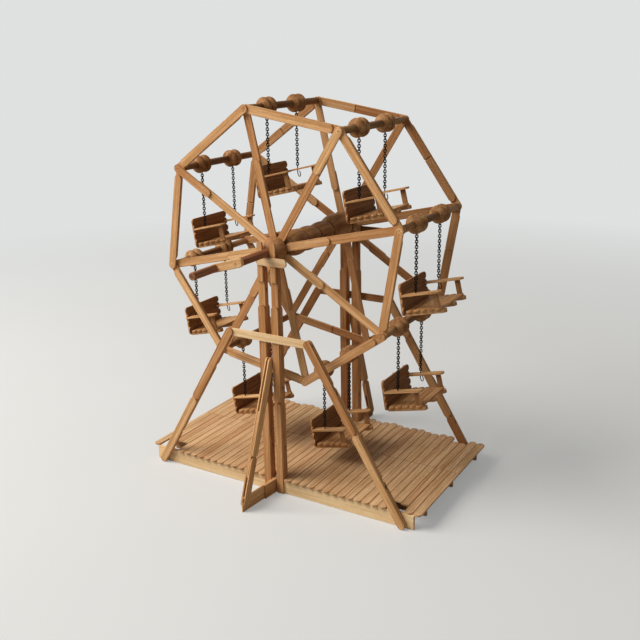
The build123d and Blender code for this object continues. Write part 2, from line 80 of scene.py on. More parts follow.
class Finish(Enum):
    """Finishes of the toy; the value is the material's name and the record's slot."""

    STICK = ("golden_stick", "stick_wood")
    DECK = ("tan_plank", "stick_wood")
    SEAT = ("brown_slat", "stick_wood")
    PALE = ("pale_strip", "pale_wood")
    TURNED = ("turned_walnut", "dark_wood")
    BALL = ("hub_ball_brown", "dark_wood")
    HANDLE = ("handle_umber", "dark_wood")
    CHAIN = ("blackened_chain", "chain_metal")

    @property
    def label(self) -> str:
        """Name of the material."""
        return self.value[0]

    @property
    def slot(self) -> str:
        """Name of the record's slot."""
        return self.value[1]


# ---------------------------------------------------------------- finishes


@dataclass
class NodeSheet:
    """Lays out the shader nodes of a material or of the world."""

    owner: bpy.types.ID

    @classmethod
    def start(cls, name: str) -> "NodeSheet":
        """Make a node material with a principled shader.

        Args:
            name: Name of the material.

        Returns:
            The sheet to add nodes to.
        """
        material = bpy.data.materials.new(name)
        material.use_nodes = True
        return cls(material)

    @property
    def shader(self) -> Node:
        """The principled shader."""
        return self.owner.node_tree.nodes["Principled BSDF"]

    def add(self, kind: str, **settings: object) -> Node:
        """Add a node and set its properties and input values.

        Args:
            kind: Blender's node type, without the ShaderNode before it.
            settings: Input values by name with underscores for spaces, or properties.

        Returns:
            The new node.
        """
        node = self.owner.node_tree.nodes.new("ShaderNode" + kind)
        for key, value in settings.items():
            socket = node.inputs.get(key.replace("_", " "))
            if socket is None:
                setattr(node, key, value)
            else:
                socket.default_value = value
        return node

    def link(self, source: Socket, target: Socket) -> None:
        """Join two sockets."""
        self.owner.node_tree.links.new(source, target)

    def feed(self, **sources: Socket) -> None:
        """Link sockets to the shader's inputs, named with underscores for spaces."""
        for key, source in sources.items():
            self.link(source, self.shader.inputs[key.replace("_", " ")])

    def fix(self, **values: float) -> None:
        """Set the shader's inputs, named with underscores for spaces."""
        for key, value in values.items():
            self.shader.inputs[key.replace("_", " ")].default_value = value

    def attribute(self, name: str) -> Node:
        """Node that reads one attribute of the mesh."""
        return self.add("Attribute", attribute_name=name)

    def noise(self, place: Socket, scale: Sequence[float], detail: float, rough: float) -> Socket:
        """Noise over a coordinate.

        Args:
            place: Vector socket.
            scale: Scale along each axis.
            detail: Number of octaves.
            rough: Strength of the finer octaves.

        Returns:
            The noise value.
        """
        mapping = self.add("Mapping", Scale=tuple(scale))
        node = self.add("TexNoise", Scale=1.0, Detail=detail, Roughness=rough)
        self.link(place, mapping.inputs["Vector"])
        self.link(mapping.outputs["Vector"], node.inputs["Vector"])
        return node.outputs["Fac"]

    def ramp(self, source: Socket, stops: Sequence[tuple[float, Colour]]) -> Socket:
        """Colour ramp over a value.

        Args:
            source: Value socket.
            stops: Positions and colours.

        Returns:
            The colour socket.
        """
        node = self.add("ValToRGB")
        band = node.color_ramp
        while len(band.elements) < len(stops):
            band.elements.new(0.5)
        for element, (position, colour) in zip(band.elements, stops):
            element.position = position
            element.color = (*colour, 1.0)
        self.link(source, node.inputs["Fac"])
        return node.outputs["Color"]

    def spread(self, source: Socket, low: Pair, high: Pair) -> Socket:
        """Map a value from one range to another, held at its ends.

        Args:
            source: Value socket.
            low: Smallest input and its result.
            high: Largest input and its result.

        Returns:
            The mapped value.
        """
        node = self.add("MapRange", From_Min=low[0], To_Min=low[1], From_Max=high[0], To_Max=high[1])
        self.link(source, node.inputs["Value"])
        return node.outputs["Result"]

    def stain(self, amount: Socket, base: Socket, top: Colour) -> Socket:
        """Lay a colour over a base colour.

        Args:
            amount: How much of it, 0 to 1.
            base: Colour below.
            top: Colour above.

        Returns:
            The mixed colour.
        """
        node = self.add("Mix", data_type="RGBA", blend_type="MIX")
        factor, below, above = node.inputs[0], node.inputs[6], node.inputs[7]
        self.link(amount, factor)
        self.link(base, below)
        above.default_value = (*top, 1.0)
        return node.outputs[2]

    def math(self, operation: str, first: Socket, second: Socket | float) -> Socket:
        """Arithmetic on a value.

        Args:
            operation: Name of the operation.
            first: Value socket.
            second: Number or value socket.

        Returns:
            The result.
        """
        node = self.add("Math", operation=operation)
        self.link(first, node.inputs[0])
        if isinstance(second, Socket):
            self.link(second, node.inputs[1])
        else:
            node.inputs[1].default_value = second
        return node.outputs[0]

    def bump(self, height: Socket, strength: float, distance: float) -> None:
        """Put a bump on the shader.

        Args:
            height: Height socket.
            strength: Strength of the bump.
            distance: Height in metres that a value of 1 stands for.
        """
        node = self.add("Bump", Strength=strength, Distance=distance)
        self.link(height, node.inputs["Height"])
        self.feed(Normal=node.outputs["Normal"])

    def either(self, amount: Socket, first: Socket, second: Socket) -> Socket:
        """Mix two shaders.

        Args:
            amount: Share of the second one.
            first: First shader.
            second: Second shader.

        Returns:
            The mixed shader.
        """
        mix = self.add("MixShader")
        for source, target in zip((amount, first, second), mix.inputs):
            self.link(source, target)
        return mix.outputs["Shader"]


@dataclass(frozen=True)
class WoodFinish:
    """Stained or bare wood whose grain follows each piece's own length.

    Meshes carry the attribute grain_at, a place in the piece in millimetres with x along
    the grain, tone, a shade of its own for each piece, and edge, 1 on arrises and in deep
    grooves, which the finish paints darker: part stain, part painted shade between pieces and in
    hollows.
    """

    name: str
    light: Colour
    middle: Colour
    dark: Colour
    # pore colour, also the colour of the painted shade on arrises and in grooves
    pore_and_shade: Colour
    roughness: float = 0.52
    coat: float = 0.02
    gloss: float = 0.06
    tone_range: float = 0.19
    # how dark arrises and grooves are painted: part stain, part painted shade between pieces and in
    # hollows
    edge_stain_and_shade: float = 0.5
    blotch: float = 0.3
    streak: float = 0.5
    pore_stain: float = 0.55
    band_scale: float = 0.42
    fibre_depth: float = 0.00004

    def make(self) -> bpy.types.Material:
        """Build the material.

        Returns:
            The node material.
        """
        sheet = NodeSheet.start(self.name)
        place = sheet.attribute("grain_at").outputs["Vector"]
        bands = sheet.noise(place, (0.012, self.band_scale, self.band_scale), 4.0, 0.55)
        fibres = sheet.noise(place, (0.045, 3.2, 3.2), 3.0, 0.6)
        flecks = sheet.noise(place, (0.16, 5.5, 5.5), 1.0, 0.5)
        clouds = sheet.noise(place, (0.05, 0.12, 0.12), 2.0, 0.5)
        edge = sheet.attribute("edge").outputs["Fac"]
        colour = sheet.ramp(bands, ((0.28, self.dark), (0.5, self.middle), (0.72, self.light)))
        for source, low, high, stain in (
            (fibres, (0.38, self.streak), (0.56, 0.0), self.dark),
            (flecks, (0.64, 0.0), (0.72, self.pore_stain), self.pore_and_shade),
            (clouds, (0.48, 0.0), (0.78, self.blotch), self.dark),
            # darker arrises and grooves: part stain, part painted shade between pieces and in hollows
            (edge, (0.35, 0.0), (1.0, self.edge_stain_and_shade), self.pore_and_shade),
        ):
            colour = sheet.stain(sheet.spread(source, low, high), colour, stain)
        tone = sheet.attribute("tone").outputs["Fac"]
        shade = sheet.add("HueSaturation")
        sheet.link(colour, shade.inputs["Color"])
        for name, low, high in (
            ("Hue", 0.492, 0.505),
            ("Saturation", 1.03, 0.93),
            ("Value", 1.0 - self.tone_range, 1.0 + self.tone_range),
        ):
            sheet.link(sheet.spread(tone, (0.0, low), (1.0, high)), shade.inputs[name])
        matt = sheet.spread(bands, (0.3, self.roughness + 0.1), (0.7, self.roughness - 0.07))
        sheet.feed(Base_Color=shade.outputs["Color"], Roughness=matt)
        sheet.fix(Coat_Weight=self.coat, Coat_Roughness=0.35, Specular_IOR_Level=self.gloss)
        sheet.bump(sheet.math("ADD", fibres, bands), 0.6, self.fibre_depth)
        return sheet.owner


@dataclass(frozen=True)
class ChainFinish:
    """Blackened wire with worn, slightly shiny high spots."""

    name: str
    black: Colour = (0.006, 0.006, 0.006)
    worn: Colour = (0.035, 0.033, 0.03)
    patina_scale: float = 900.0
    patina_depth: float = 0.00003

    def make(self) -> bpy.types.Material:
        """Build the material.

        Returns:
            The node material.
        """
        sheet = NodeSheet.start(self.name)
        place = sheet.add("TexCoord").outputs["Object"]
        patina = sheet.noise(place, (self.patina_scale,) * 3, 3.0, 0.6)
        colour = sheet.ramp(patina, ((0.45, self.black), (0.75, self.worn)))
        sheet.feed(Base_Color=colour, Roughness=sheet.spread(patina, (0.3, 0.6), (0.7, 0.4)))
        sheet.fix(Metallic=0.9, Specular_IOR_Level=0.2)
        sheet.bump(patina, 0.4, self.patina_depth)
        return sheet.owner


@dataclass(frozen=True)
class FloorFinish:
    """Plain pale floor that keeps the toy's shadow and fades into the backdrop."""

    name: str = "pale_floor"
    colour: Colour = (0.46, 0.46, 0.455)
    backdrop: Colour = (0.74, 0.755, 0.75)
    lift: float = 0.34
    fade_start: float = 0.55
    fade_end: float = 1.7

    def make(self) -> bpy.types.Material:
        """Build the material.

        Returns:
            The node material.
        """
        sheet = NodeSheet.start(self.name)
        place = sheet.add("TexCoord").outputs["Object"]
        warm = tuple(channel * 0.97 for channel in self.colour)
        tint = sheet.noise(place, (3.0, 3.0, 3.0), 3.0, 0.5)
        sheet.feed(Base_Color=sheet.ramp(tint, ((0.3, warm), (0.7, self.colour))))
        sheet.fix(Roughness=0.9, Specular_IOR_Level=0.1)
        seen = sheet.add("LightPath").outputs["Is Camera Ray"]
        glow = sheet.add("Emission", Color=(*self.backdrop, 1.0))
        sheet.link(sheet.math("MULTIPLY", seen, self.lift), glow.inputs["Strength"])
        lit = sheet.add("AddShader")
        sheet.link(sheet.shader.outputs["BSDF"], lit.inputs[0])
        sheet.link(glow.outputs["Emission"], lit.inputs[1])
        far = sheet.add("Emission", Color=(*self.backdrop, 1.0), Strength=1.0)
        distance = sheet.add("VectorMath", operation="LENGTH")
        sheet.link(place, distance.inputs[0])
        fade = sheet.spread(distance.outputs["Value"], (self.fade_start, 0.0), (self.fade_end, 1.0))
        share = sheet.math("MULTIPLY", fade, seen)
        surface = sheet.either(share, lit.outputs["Shader"], far.outputs["Emission"])
        output = sheet.owner.node_tree.nodes["Material Output"]
        sheet.link(surface, output.inputs["Surface"])
        return sheet.owner


class FinishKit:
    """Makes each finish once and hands it out."""

    def __init__(self) -> None:
        """Build the finishes of the toy, the colours of each from light to pore; the pore colour also
        paints the shade on arrises and in grooves.
        """
        stick = ((0.83, 0.51, 0.25), (0.63, 0.34, 0.14), (0.39, 0.172, 0.054), (0.14, 0.047, 0.012))
        deck = ((0.82, 0.56, 0.32), (0.64, 0.39, 0.19), (0.42, 0.215, 0.085), (0.13, 0.05, 0.015))
        seat = ((0.78, 0.47, 0.22), (0.58, 0.305, 0.12), (0.34, 0.145, 0.043), (0.10, 0.033, 0.008))
        pale = ((0.94, 0.74, 0.47), (0.86, 0.62, 0.34), (0.68, 0.42, 0.19), (0.34, 0.17, 0.06))
        walnut = ((0.60, 0.34, 0.145), (0.37, 0.182, 0.067), (0.18, 0.072, 0.021), (0.05, 0.018, 0.005))
        brown = ((0.56, 0.32, 0.145), (0.42, 0.21, 0.083), (0.25, 0.108, 0.036), (0.07, 0.026, 0.009))
        umber = ((0.52, 0.25, 0.12), (0.34, 0.14, 0.062), (0.17, 0.062, 0.026), (0.035, 0.011, 0.005))
        smooth = {"blotch": 0.25, "streak": 0.25, "band_scale": 0.16}
        # the edge value of each finish sets how dark arrises and grooves are painted: part stain, part
        # painted shade between pieces and in hollows
        woods = {
            Finish.STICK: (stick, {}),
            Finish.DECK: (deck, {"tone_range": 0.1, "edge_stain_and_shade": 0.7}),
            Finish.SEAT: (seat, {"tone_range": 0.3, "edge_stain_and_shade": 0.65}),
            Finish.PALE: (pale, {"roughness": 0.45, "tone_range": 0.14, "edge_stain_and_shade": 0.2}),
            Finish.TURNED: (walnut, {"roughness": 0.5, "edge_stain_and_shade": 0.7, **smooth}),
            Finish.BALL: (brown, {"roughness": 0.45, **smooth}),
            Finish.HANDLE: (umber, {"roughness": 0.45, "blotch": 0.4}),
        }
        self._made = {
            finish: WoodFinish(finish.label, *colours, **changes).make()
            for finish, (colours, changes) in woods.items()
        }
        self._made[Finish.CHAIN] = ChainFinish(Finish.CHAIN.label).make()

    def get(self, finish: Finish) -> bpy.types.Material:
        """Material of one finish."""
        return self._made[finish]


# ---------------------------------------------------------------- mesh making


def show(name: str, data: bpy.types.ID) -> bpy.types.Object:
    """Put a mesh, lamp or camera in the scene.

    Args:
        name: Name of the object.
        data: What it shows.

    Returns:
        The object.
    """
    thing = bpy.data.objects.new(name, data)
    bpy.context.scene.collection.objects.link(thing)
    return thing


@dataclass(frozen=True)
class Bench:
    """A place to work: an origin in millimetres with a run direction and a face normal."""

    origin: Vector
    run: Vector
    normal: Vector

    @property
    def across(self) -> Vector:
        """Direction across the piece."""
        return self.normal.cross(self.run)

    def point(self, along: float, across: float, up: float) -> Vector:
        """World point, in millimetres, of a place on the bench."""
        return self.origin + self.run * along + self.across * across + self.normal * up


@dataclass
class Pile:
    """Collects wooden pieces of one node in one mesh."""

    seed: int
    arris: float = 0.3
    arc_steps: int = 9
    slim: float = 0.12
    grain_shift: float = 900.0
    # how dark the grooves of turned parts are painted, as painted shade
    groove_shade: float = 1.25
    mesh: bmesh.types.BMesh = field(default_factory=bmesh.new)

    def __post_init__(self) -> None:
        """Prepare the layers that the wood finishes read."""
        self.random = random.Random(self.seed)
        layers = self.mesh.verts.layers
        self.grain = layers.float_vector.new("grain_at")
        self.tone = layers.float.new("tone")
        self.edge = layers.float.new("edge")

    def _shift(self) -> Vector:
        """Random place in the wood that a new piece is cut from."""
        return Vector([self.random.uniform(0, self.grain_shift) for _ in range(3)])

    def ring(self, points: Iterable[tuple[Vector, Vector]], tone: float, edge: float) -> list[Vert]:
        """Add a ring of vertices.

        Args:
            points: World place and grain place of each vertex, in millimetres.
            tone: Shade of the piece.
            edge: How dark the ring is painted on an arris or in a groove: part stain, part painted
                shade.

        Returns:
            The new vertices.
        """
        ring = []
        for world, grain in points:
            vert = self.mesh.verts.new(world * MM)
            vert[self.grain], vert[self.tone], vert[self.edge] = grain, tone, edge
            ring.append(vert)
        return ring

    def skin(self, rings: list[list[Vert]], closed: bool = False) -> None:
        """Join rings with faces.

        Args:
            rings: Rings of equal length.
            closed: Whether the last ring joins the first one; if not, both ends are capped.
        """
        pairs = list(zip(rings, rings[1:]))
        if closed:
            pairs.append((rings[-1], rings[0]))
        for low, high in pairs:
            for index in range(len(low)):
                after = (index + 1) % len(low)
                self.mesh.faces.new((low[index], low[after], high[after], high[index]))
        if not closed:
            self.mesh.faces.new(list(reversed(rings[0])))
            self.mesh.faces.new(rings[-1])

    def _outline(
        self, start: float, end: float, half: float, square: tuple[bool, bool], inset: float
    ) -> list[Pair]:
        """Outline of a stick with round or square ends.

        Args:
            start: First end.
            end: Last end.
            half: Half its width.
            square: Which ends are cut square.
            inset: How far the outline is drawn in.

        Returns:
            Points along and across, anticlockwise.
        """
        points: list[Pair] = []
        radius = half - inset
        for sign, tip, is_square in ((1, end, square[1]), (-1, start, square[0])):
            if is_square:
                along = tip - sign * inset
                points += [(along, -sign * radius), (along, sign * radius)]
                continue
            centre = tip - sign * half
            for step in range(self.arc_steps + 1):
                angle = math.pi * (step / self.arc_steps - 0.5)
                along = centre + sign * radius * math.cos(angle)
                points.append((along, sign * radius * math.sin(angle)))
        return points

    def stick(
        self,
        bench: Bench,
        start: float,
        end: float,
        width: float = 9.5,
        thickness: float = 2.0,
        square: tuple[bool, bool] = (False, False),
        tone: float | None = None,
    ) -> None:
        """Lay one flat stick on a bench, along its run.

        Args:
            bench: Where its lower face lies.
            start: First end along the run.
            end: Last end along the run.
            width: Width of the stick.
            thickness: Thickness of the stick.
            square: Which ends are cut square.
            tone: Shade of its own, or None for a random one.
        """
        tone = self.random.random() if tone is None else tone
        shift = self._shift()
        half = width / 2 - self.random.uniform(0.0, self.slim)
        arris = self.arris
        # Rings from the lower face up: height, inset and edge value; the edge value paints arrises and
        # thin sides darker, part stain and part painted shade in the gaps between pieces.
        levels = (
            (0.0, arris, 0.9),
            (arris, 0.0, 0.45),
            (thickness / 2, 0.0, 0.1),
            (thickness - arris, 0.0, 0.45),
            (thickness, arris, 0.9),
            (thickness, arris * 3.2, 0.0),
        )
        rings = []
        for height, inset, edge in levels:
            outline = self._outline(start, end, half, square, inset)
            points = [(bench.point(a, c, height), Vector((a, c, height)) + shift) for a, c in outline]
            rings.append(self.ring(points, tone, edge))
        self.skin(rings)

    def turned(self, bench: Bench, profile: Sequence[Pair], steps: int = 36) -> None:
        """Turn a solid round the run of a bench, its grooves painted darker as painted shade.

        Args:
            bench: Its run is the axis.
            profile: Places along the axis and radii, from one end to the other.
            steps: Facets round the axis.
        """
        tone = self.random.random()
        shift = self._shift()
        rings = []
        for number, (along, radius) in enumerate(profile):
            before = profile[max(number - 1, 0)][1]
            after = profile[min(number + 1, len(profile) - 1)][1]
            valley = max(0.0, (before + after) / 2 - radius)
            points = []
            for step in range(steps):
                angle = math.tau * step / steps
                across, up = radius * math.cos(angle), radius * math.sin(angle)
                grain = Vector((along, across, up)) + shift
                points.append((bench.point(along, across, up), grain))
            # painted shade: a ring lying deeper than its neighbours is painted darker, so grooves and
            # necks look shaded
            rings.append(self.ring(points, tone, min(1.0, valley * self.groove_shade)))
        self.skin(rings)

    def close(self, name: str, kit: FinishKit, finish: Finish, body: str, node: str) -> None:
        """Close the pile into an object that stands for a CAD node.

        Args:
            name: Name of the object.
            kit: The finishes.
            finish: Which of them it takes.
            body: Body that it rides on.
            node: CAD node that it replaces.
        """
        bmesh.ops.recalc_face_normals(self.mesh, faces=self.mesh.faces)
        for face in self.mesh.faces:
            face.smooth = True
        data = bpy.data.meshes.new(name)
        self.mesh.to_mesh(data)
        self.mesh.free()
        data.set_sharp_from_angle(angle=SHARP_ANGLE)
        data.materials.append(kit.get(finish))
        piece = show(name, data)
        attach(piece, body)
        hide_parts(node)
        LOG.info("made %s with %d faces", name, len(data.polygons))


# ---------------------------------------------------------------- sub-assemblies


@dataclass(frozen=True)
class Stock:
    """Sizes of the craft sticks, in millimetres."""

    length: float = 114.3
    width: float = 9.5
    thickness: float = 2.0

    @property
    def half(self) -> float:
        """Half a stick."""
        return self.length / 2

    @property
    def end(self) -> float:
        """Radius of a round end."""
        return self.width / 2

    def course(self, start: float, first: float, end: float) -> list[Pair]:
        """Ends of the sticks laid end to end from start to end.

        Args:
            start: Where the course starts.
            first: Length of its first stick.
            end: Where it ends.

        Returns:
            Start and end of each stick.
        """
        seams = [start, start + first]
        while end - seams[-1] > self.length + self.width:
            seams.append(seams[-1] + self.length)
        return list(zip(seams, seams[1:] + [end]))


def facing(side: Side, depth: float, x: float, z: float, run: Pair) -> Bench:
    """Bench parallel to the wheel, its face outward.

    Args:
        side: Front or back.
        depth: Distance from the middle plane.
        x: Place across the wheel.
        z: Height.
        run: Direction (x, z) of its run.

    Returns:
        The bench.
    """
    origin, outward = Vector((x, side.value * depth, z)), Vector((0, side.value, 0))
    return Bench(origin, Vector((run[0], 0, run[1])), outward)


def axis_bench(x: float, z: float) -> Bench:
    """Bench whose run is an axis along Y."""
    return Bench(Vector((x, 0, z)), AXIS_Y, AXIS_Z)


@dataclass
class Wheel:
    """The octagonal wheel: rims, spokes, spindles, hubs, axle and crank."""

    finishes: FinishKit
    stock: Stock = field(default_factory=Stock)
    corners: int = 8
    radius: float = 153.0
    hub: float = 288.0
    first_angle: float = 147.9
    rim_face: float = 74.0
    raised_sides: tuple[int, ...] = (1, 5)
    top_spokes: tuple[int, ...] = (1, 3)
    split_spoke: int = 2
    raised_spokes: tuple[int, ...] = (1, 2, 3, 6)
    hub_start: float = 12.0
    raised_start: float = 10.0
    split_end: float = 98.0
    seam_gap: float = 0.55
    hanger_middle: float = -5.0
    hanger_offset: float = 30.5
    rod_radius: float = 4.0
    tenon_radius: float = 3.0
    tenon_sunk: float = 0.6
    tenon_face: tuple[Pair, ...] = (
        (-0.5, 0.0), (0.03, 0.0), (0.05, 0.1), (0.0, 0.35), (0.04, 0.6), (0.05, 2.6)
    )
    bead_lip: tuple[Pair, ...] = ((10.6, 4.0), (10.3, 5.2), (10.0, 5.5))
    bead_radius: float = 10.3
    bead_half: float = 5.0
    bead_offset: float = 5.2
    bead_neck: float = 5.5
    chain_groove: float = 0.9
    centre_grooves: tuple[Pair, ...] = (
        (-72.0, 9.0), (-56.0, 9.5), (-26.0, 11.5), (3.0, 11.0), (32.0, 11.5), (72.0, 14.0)
    )
    centre_bulges: tuple[float, ...] = (11.0, 14.5, 14.0, 13.8, 17.4)
    centre_collar: tuple[Pair, ...] = (
        (74.0, 4.6), (74.0, 17.2), (73.7, 17.5), (72.3, 17.5), (72.0, 17.2)
    )
    ball_radius: float = 15.0
    ball_middle: float = 1.0
    ball_flat: float = 14.6
    ball_bore: float = 4.55
    ball_angles: Pair = (4.0, 72.0)
    ball_cut: float = 0.9
    axle_radius: float = 4.5
    axle_end: float = 101.0
    crank_angle: float = 196.0
    crank_throw: float = 28.0
    crank_face: float = 148.0
    crank_thickness: float = 4.0
    arm_past: Pair = (8.5, 6.0)
    handle_end: float = 190.0
    handle_tip: tuple[Pair, ...] = ((0.0, 2.2), (0.0, 3.7), (0.6, 4.2), (9.0, 4.25))
    handle_foot: tuple[Pair, ...] = ((8.0, 4.2), (0.5, 4.25), (0.0, 4.0), (0.0, 2.0))

    def angle(self, index: int) -> float:
        """Direction of a corner in radians, numbered clockwise from 0."""
        return math.radians(self.first_angle - 360 / self.corners * index)

    def corner(self, index: int) -> Pair:
        """Place (x, z) of a corner."""
        angle = self.angle(index)
        return self.radius * math.cos(angle), self.hub + self.radius * math.sin(angle)

    @property
    def chord(self) -> float:
        """Distance between two corners."""
        return 2 * self.radius * math.sin(math.pi / self.corners)

    def depth(self, layer: int) -> float:
        """Depth of the inner face of a layer of sticks."""
        return self.rim_face + layer * self.stock.thickness

    def first_layer(self, index: int) -> int:
        """Innermost layer of sticks at a corner of the front rim."""
        return 0 if index + 1 in self.raised_spokes else -1

    def rim_bench(self, side: Side, layer: int, index: int) -> Bench:
        """Bench whose run goes from one corner to the next.

        Args:
            side: Front or back.
            layer: Layer of sticks.
            index: Corner that it starts from.

        Returns:
            The bench.
        """
        here, there = self.corner(index), self.corner(index + 1)
        run = ((there[0] - here[0]) / self.chord, (there[1] - here[1]) / self.chord)
        return facing(side, self.depth(layer), *here, run)

    def spoke_bench(self, side: Side, layer: int, index: int) -> Bench:
        """Bench whose run goes from the hub to a corner."""
        angle = self.angle(index)
        return facing(side, self.depth(layer), 0, self.hub, (math.cos(angle), math.sin(angle)))

    def put(self, pile: Pile, node: str, finish: Finish) -> None:
        """Close a pile that stands for one node of the wheel."""
        pile.close(f"wheel_{node}", self.finishes, finish, "wheel", node)

    def peg_end(self, pile: Pile, side: Side, depth: float, x: float, z: float) -> None:
        """Show the end of a round tenon flush in the face of a stick, with a fine ring round it.

        Args:
            pile: Where the stick is.
            side: Front or back.
            depth: Distance of the stick's outer face from the middle plane.
            x: Place across the wheel.
            z: Height.
        """
        radius = self.tenon_radius
        profile = [(side.value * (depth + up), radius - inset) for up, inset in self.tenon_face]
        pile.turned(axis_bench(x, z), profile, steps=28)

    def build_rims(self) -> None:
        """Build both rims: staggered whole sticks in front, half sticks inside at the back."""
        end, length, gap = self.stock.end, self.stock.length, self.seam_gap
        early, late = (-end, length - end), (self.chord + end - length, self.chord + end)
        middle = self.stock.half - end
        front, back = Pile(11), Pile(12)
        for index in range(self.corners):
            raised = index + 1 in self.raised_sides
            inner, outer = (early, late) if raised else (late, early)
            front.stick(self.rim_bench(Side.FRONT, int(raised), index), *inner)
            front.stick(self.rim_bench(Side.FRONT, int(raised) + 1, index), *outer)
            bench = self.rim_bench(Side.BACK, 0, index)
            back.stick(bench, early[0], middle - gap, square=(False, True))
            back.stick(bench, middle + gap, early[1], square=(True, False))
            back.stick(self.rim_bench(Side.BACK, 1, index), *late)
            outer_face = self.depth(self.first_layer(index) + 3)
            self.peg_end(front, Side.FRONT, outer_face, *self.corner(index))
            self.peg_end(back, Side.BACK, self.depth(2), *self.corner(index))
        self.put(front, "rim_front", Finish.STICK)
        self.put(back, "rim_back", Finish.STICK)

    def build_spokes(self) -> None:
        """Build the spokes of both sides, each lapped from two sticks."""
        tip = self.radius + self.stock.end
        full, half = self.stock.length, self.stock.half
        near_hub = (self.hub_start, self.hub_start + half)
        front, back = Pile(21), Pile(22)
        for index in range(self.corners):
            number = index + 1
            hub_layer, hub_ends, outer_layer, outer_length = 0, near_hub, -1, full
            if number in self.top_spokes:
                hub_layer, outer_layer, outer_length = 1, 2, half
                hub_ends = (self.raised_start, self.raised_start + full)
            elif number == self.split_spoke:
                hub_layer, outer_layer = 1, 0
                hub_ends = (self.raised_start, self.split_end)
            elif number in self.raised_spokes:
                hub_layer, outer_layer = 1, 0
            front.stick(self.spoke_bench(Side.FRONT, outer_layer, index), tip - outer_length, tip)
            front.stick(self.spoke_bench(Side.FRONT, hub_layer, index), *hub_ends)
            back.stick(self.spoke_bench(Side.BACK, -1, index), tip - full, tip)
            back.stick(self.spoke_bench(Side.BACK, 0, index), *near_hub)
        self.put(front, "spokes_front", Finish.STICK)
        self.put(back, "spokes_back", Finish.STICK)

    def bead_group(self, middle: float) -> list[Pair]:
        """Profile of one pair of beads with the chain groove between them.

        Args:
            middle: Place of the groove along the spindle.

        Returns:
            Places and radii.
        """
        neck, steps = self.bead_neck, 14
        profile = [(middle - out, radius) for out, radius in self.bead_lip]
        for sign in (-1, 1):
            centre = middle + sign * self.bead_offset
            for step in range(1, steps):
                angle = math.pi * step / steps
                radius = self.bead_radius * math.sin(angle)
                if radius > neck + 0.1:
                    profile.append((centre - self.bead_half * math.cos(angle), radius))
            if sign < 0:
                groove = self.chain_groove
                profile += [(middle - groove, neck), (middle + groove, neck)]
        return profile + [(middle + out, radius) for out, radius in reversed(self.bead_lip)]

    def build_spindles(self) -> None:
        """Build the turned spindles that hold the rims apart."""
        tenon, rod, chamfer = self.tenon_radius, self.rod_radius, 0.3
        back, back_tip = self.depth(-1), self.depth(2) - self.tenon_sunk
        for index in range(self.corners):
            first = self.first_layer(index)
            front, front_tip = -self.depth(first), self.tenon_sunk - self.depth(first + 3)
            profile = [(front_tip, tenon - 0.5), (front_tip, tenon), (front, tenon)]
            profile += [(front, rod - 0.2), (front + chamfer, rod)]
            for sign in (-1, 1):
                profile += self.bead_group(self.hanger_middle + sign * self.hanger_offset)
            profile += [(back - chamfer, rod), (back, rod - 0.2)]
            profile += [(back, tenon), (back_tip, tenon), (back_tip, tenon - 0.5)]
            pile = Pile(31 + index)
            pile.turned(axis_bench(*self.corner(index)), profile)
            self.put(pile, f"spindle_{index + 1}", Finish.TURNED)

    def build_centre_spindle(self) -> None:
        """Build the fat turned spindle on the axle, with five bulges between two collars."""
        grooves, steps, fullness = self.centre_grooves, 13, 0.72
        profile = [(-along, radius) for along, radius in self.centre_collar] + [grooves[0]]
        for (start, low), (end, high), bulge in zip(grooves, grooves[1:], self.centre_bulges):
            swell = bulge - (low + high) / 2
            for step in range(1, steps):
                share = step / steps
                radius = low + (high - low) * share + swell * math.sin(math.pi * share) ** fullness
                profile.append((start + (end - start) * share, radius))
            profile.append((end, high))
        pile = Pile(41)
        pile.turned(axis_bench(0, self.hub), profile + list(reversed(self.centre_collar)), steps=48)
        self.put(pile, "centre_spindle", Finish.TURNED)

    def build_hubs(self) -> None:
        """Build the two wooden balls that clamp the spokes."""
        radius, bore, steps, (first, last) = self.ball_radius, self.ball_bore, 16, self.ball_angles
        for side, layer in ((Side.FRONT, 2), (Side.BACK, 1)):
            flat = self.depth(layer)
            centre = flat + self.ball_middle
            profile = [(flat, bore), (flat, self.ball_flat)]
            for step in range(1, steps + 1):
                angle = math.radians(first + (last - first) * step / steps)
                profile.append((centre + radius * math.sin(angle), radius * math.cos(angle)))
            profile.append((centre + radius - self.ball_cut, bore))
            pile = Pile(43 + layer)
            outward = [(side.value * along, wide) for along, wide in profile]
            pile.turned(axis_bench(0, self.hub), outward, steps=48)
            self.put(pile, f"hub_{side.word}", Finish.BALL)

    def build_crank(self) -> None:
        """Build the axle, the crank arm and its handle."""
        face, radius, end, throw = self.crank_face, self.axle_radius, self.axle_end, self.crank_throw
        tip, tenon = face + self.crank_thickness, self.tenon_radius
        peg_tip = self.tenon_sunk - tip
        axle = Pile(51)
        profile = [(peg_tip, tenon - 0.5), (peg_tip, tenon), (-face, tenon)]
        profile += [(-face, radius - 0.3), (0.4 - face, radius)]
        profile += [(end - 0.6, radius), (end, radius - 0.4), (end, 2.0)]
        axle.turned(axis_bench(0, self.hub), profile)
        self.put(axle, "axle", Finish.HANDLE)
        angle = math.radians(self.crank_angle)
        run = (math.cos(angle), math.sin(angle))
        arm = Pile(52, arris=0.6)
        bench = facing(Side.FRONT, face, 0, self.hub, run)
        ends = (-self.arm_past[0], throw + self.arm_past[1])
        arm.stick(bench, *ends, thickness=self.crank_thickness, tone=1.0)
        self.peg_end(arm, Side.FRONT, tip, 0, self.hub)
        self.put(arm, "crank_arm", Finish.STICK)
        handle = Pile(53)
        profile = [(inward - self.handle_end, wide) for inward, wide in self.handle_tip]
        profile += [(-tip - outward, wide) for outward, wide in self.handle_foot]
        handle.turned(axis_bench(throw * run[0], self.hub + throw * run[1]), profile)
        self.put(handle, "crank_handle", Finish.HANDLE)

    def build(self) -> None:
        """Build every piece that turns with the crank."""
        self.build_rims()
        self.build_spokes()
        self.build_spindles()
        self.build_centre_spindle()
        self.build_hubs()
        self.build_crank()


